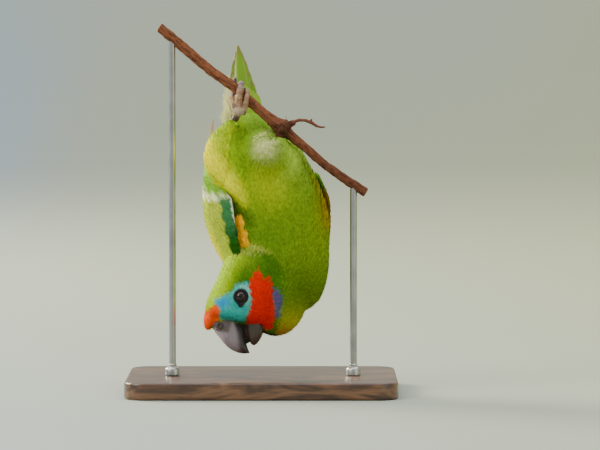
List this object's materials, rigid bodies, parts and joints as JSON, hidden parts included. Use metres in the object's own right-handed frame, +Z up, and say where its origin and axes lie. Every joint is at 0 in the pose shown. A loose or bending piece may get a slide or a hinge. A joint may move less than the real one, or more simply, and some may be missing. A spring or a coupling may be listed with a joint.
{
  "type": "double-eyed fig parrot model on a perch",
  "caption": "Life-size still model of a small green fig parrot hanging head down by one foot from a short cut branch, on a flat base with two rods.",
  "frame": {"origin": "centre of the base's flat underside", "axes": "+Z up from the base to the branch, -Y towards the side that the bird's belly faces, +X towards the lower end of the branch"},
  "size_m": [0.124, 0.084, 0.1696],
  "materials": {
    "green": "soft feathers",
    "lime": "soft feathers",
    "wing": "smooth feathers",
    "bill": "satin horn",
    "eye": "glossy",
    "foot": "scaly skin",
    "bark": "rough bark",
    "wood": "satin varnish",
    "steel": "satin"
  },
  "bodies": {
    "root": {"torso": "green", "neck": "green", "head": "green", "bill_upper": "bill", "bill_lower": "bill", "cere": "bill", "eye_left": "eye", "eye_right": "eye", "wing_left": "wing", "wing_right": "wing", "tail": "lime", "thigh_left": "lime", "thigh_right": "lime", "foot_left": "foot", "foot_right": "foot", "perch_branch": "bark", "stand_base": "wood", "stand_rod_left": "steel", "stand_rod_right": "steel"}
  },
  "joints": []
}
